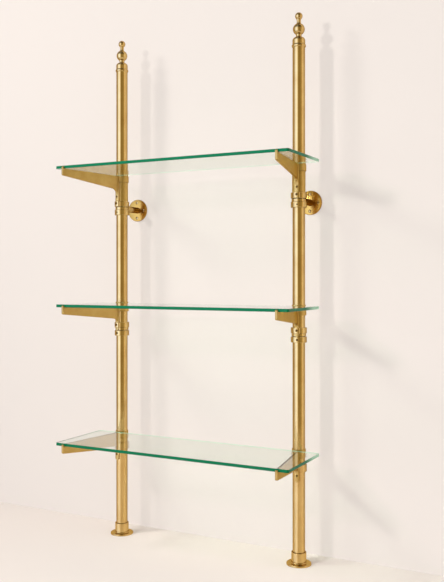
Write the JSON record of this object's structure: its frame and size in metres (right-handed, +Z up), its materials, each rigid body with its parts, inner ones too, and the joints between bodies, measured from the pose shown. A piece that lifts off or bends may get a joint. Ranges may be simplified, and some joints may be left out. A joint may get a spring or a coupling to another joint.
{
  "type": "etagere",
  "caption": "Open etagere with brass tube posts, ball finials, cast shelf brackets and loose glass shelves, standing on floor flanges and tied to the wall.",
  "frame": {"origin": "on the floor, at the middle of the part's footprint", "axes": "+X along the shelves to the right, +Y towards the wall, +Z up"},
  "size_m": [0.838, 0.3854, 1.7607],
  "materials": {
    "turned_brass": "polished",
    "cast_brass": "satin, brushed after casting",
    "brass_screws": "aged",
    "clear_glass": "clear with green ground edges"
  },
  "bodies": {
    "frame": {"bracket_bottom_left": "cast_brass", "bracket_bottom_right": "cast_brass", "bracket_middle_left": "cast_brass", "bracket_middle_right": "cast_brass", "bracket_screws_bottom_left": "brass_screws", "bracket_screws_bottom_right": "brass_screws", "bracket_screws_middle_left": "brass_screws", "bracket_screws_middle_right": "brass_screws", "bracket_screws_top_left": "brass_screws", "bracket_screws_top_right": "brass_screws", "bracket_top_left": "cast_brass", "bracket_top_right": "cast_brass", "finial_left": "turned_brass", "finial_right": "turned_brass", "floor_flange_grub_left": "brass_screws", "floor_flange_grub_right": "brass_screws", "floor_flange_left": "turned_brass", "floor_flange_right": "turned_brass", "joiner_grub_left": "brass_screws", "joiner_grub_right": "brass_screws", "joiner_left": "turned_brass", "joiner_right": "turned_brass", "lower_tube_left": "turned_brass", "lower_tube_right": "turned_brass", "stop_collar_grub_left": "brass_screws", "stop_collar_grub_right": "brass_screws", "stop_collar_left": "turned_brass", "stop_collar_right": "turned_brass", "upper_tube_left": "turned_brass", "upper_tube_right": "turned_brass", "wall_arm_left": "turned_brass", "wall_arm_right": "turned_brass", "wall_flange_left": "turned_brass", "wall_flange_right": "turned_brass", "wall_tee_grub_left": "brass_screws", "wall_tee_grub_right": "brass_screws", "wall_tee_left": "turned_brass", "wall_tee_right": "turned_brass"},
    "bottom_shelf": {"glass_shelf_bottom": "clear_glass"},
    "middle_shelf": {"glass_shelf_middle": "clear_glass"},
    "top_shelf": {"glass_shelf_top": "clear_glass"}
  },
  "joints": [
    {"name": "bottom_shelf_lift", "type": "slide", "parent": "frame", "child": "bottom_shelf", "axis": [0, 0, 1], "range_m": [0, 0.06]},
    {"name": "middle_shelf_lift", "type": "slide", "parent": "frame", "child": "middle_shelf", "axis": [0, 0, 1], "range_m": [0, 0.06]},
    {"name": "top_shelf_lift", "type": "slide", "parent": "frame", "child": "top_shelf", "axis": [0, 0, 1], "range_m": [0, 0.06]}
  ]
}
